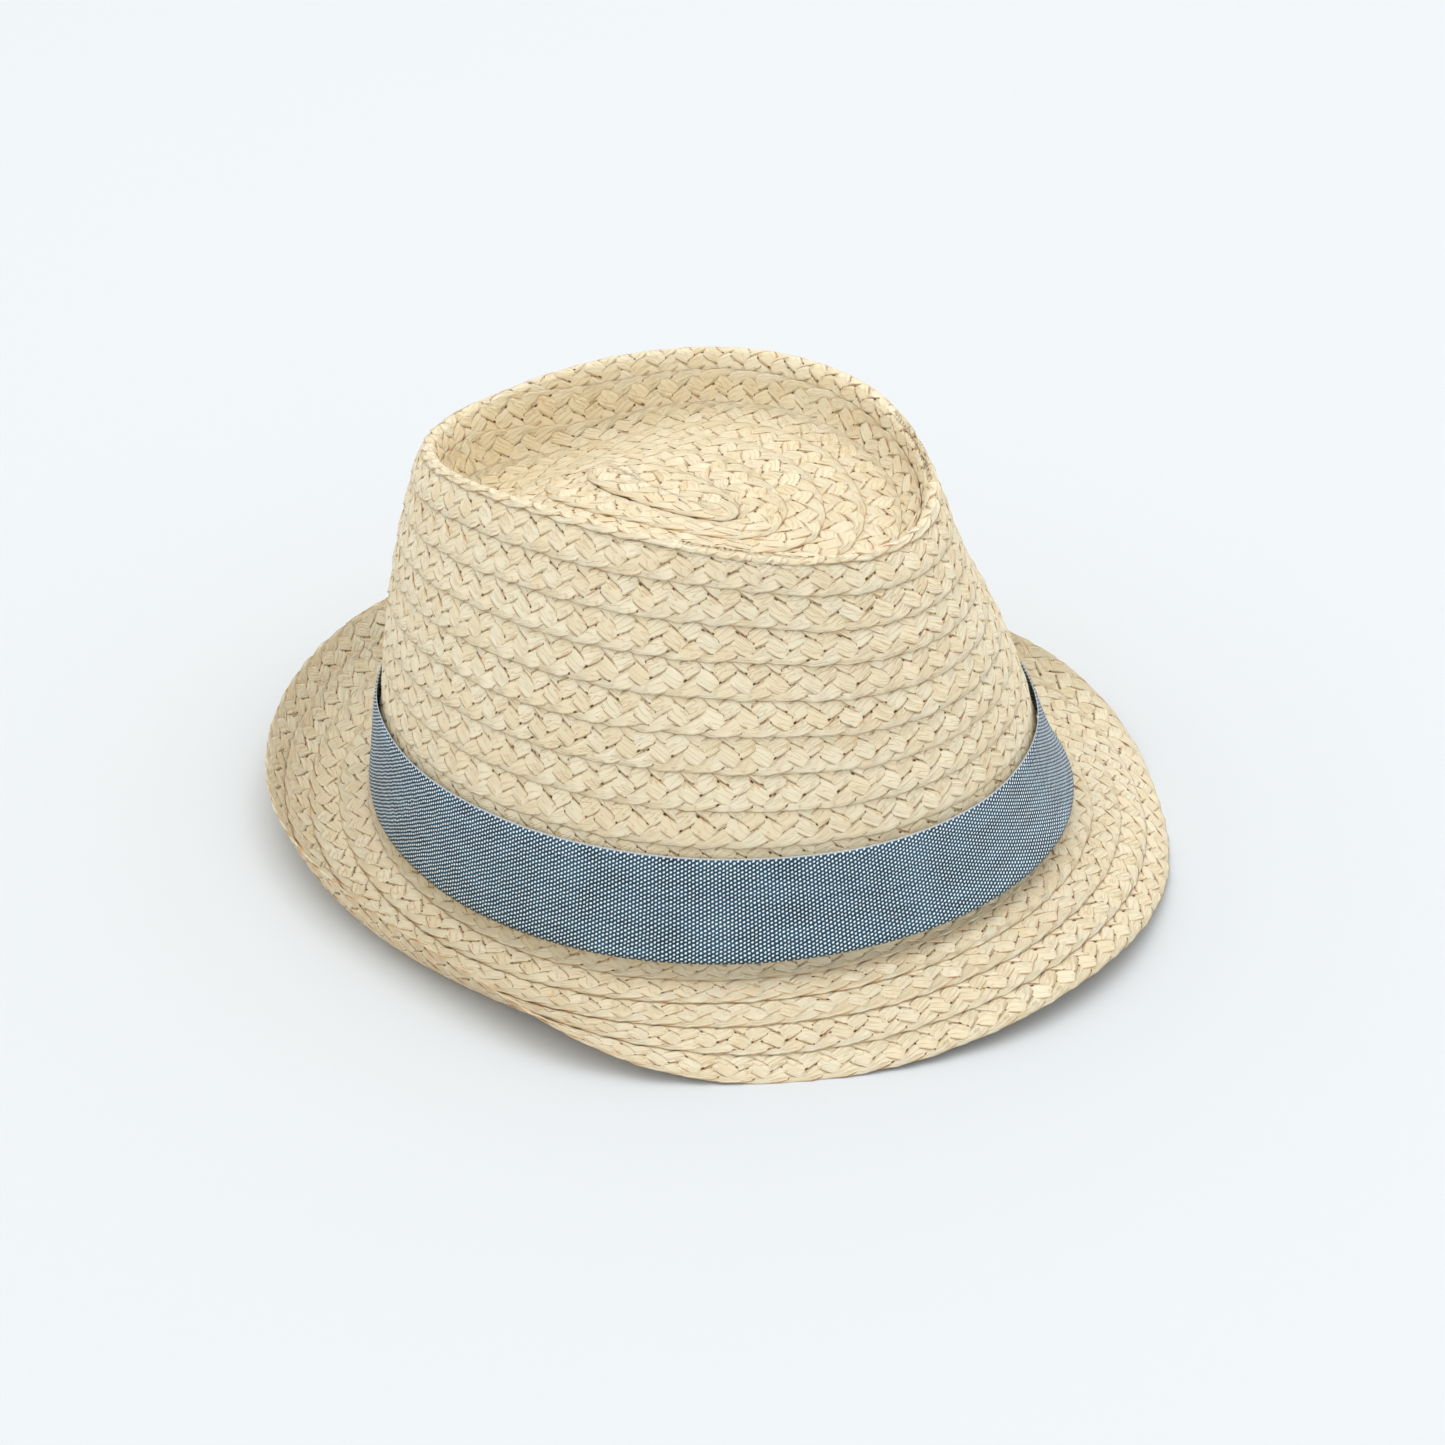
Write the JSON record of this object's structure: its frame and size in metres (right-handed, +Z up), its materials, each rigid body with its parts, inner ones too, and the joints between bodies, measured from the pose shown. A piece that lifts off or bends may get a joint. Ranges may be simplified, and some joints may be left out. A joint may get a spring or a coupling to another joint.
{
  "type": "straw trilby hat",
  "caption": "Sewn paper-straw trilby with a teardrop dent, a short brim rolled up at the sides and back, a chambray band and an inner sweatband",
  "frame": {"origin": "middle of the hat's box, on the surface that the brim stands on", "axes": "+Z up through the crown, -Y to the front of the hat, +X to the wearer's left"},
  "size_m": [0.237, 0.2746, 0.1234],
  "materials": {
    "straw": "plaited paper straw, matt to satin",
    "chambray": "blue and white chambray weave",
    "sweatband_cotton": "ribbed cotton tape",
    "label_tape": "plain woven tape"
  },
  "bodies": {
    "hat": {"tip_course_1": "straw", "tip_course_2": "straw", "tip_course_3": "straw", "tip_course_4": "straw", "tip_course_5": "straw", "tip_course_6": "straw", "tip_course_7": "straw", "side_course_1": "straw", "side_course_2": "straw", "side_course_3": "straw", "side_course_4": "straw", "side_course_5": "straw", "side_course_6": "straw", "side_course_7": "straw", "side_course_8": "straw", "side_course_9": "straw", "side_course_10": "straw", "side_course_11": "straw", "side_course_12": "straw", "brim_course_1": "straw", "brim_course_2": "straw", "brim_course_3": "straw", "brim_course_4": "straw", "hat_band": "chambray", "sweatband": "sweatband_cotton"},
    "label": {"size_label": "label_tape"}
  },
  "joints": [
    {"name": "label_flap", "type": "hinge", "parent": "hat", "child": "label", "pos_m": [0, 0.09936, 0.02744], "axis": [-1, 0, 0], "range_deg": [0, 120]}
  ]
}
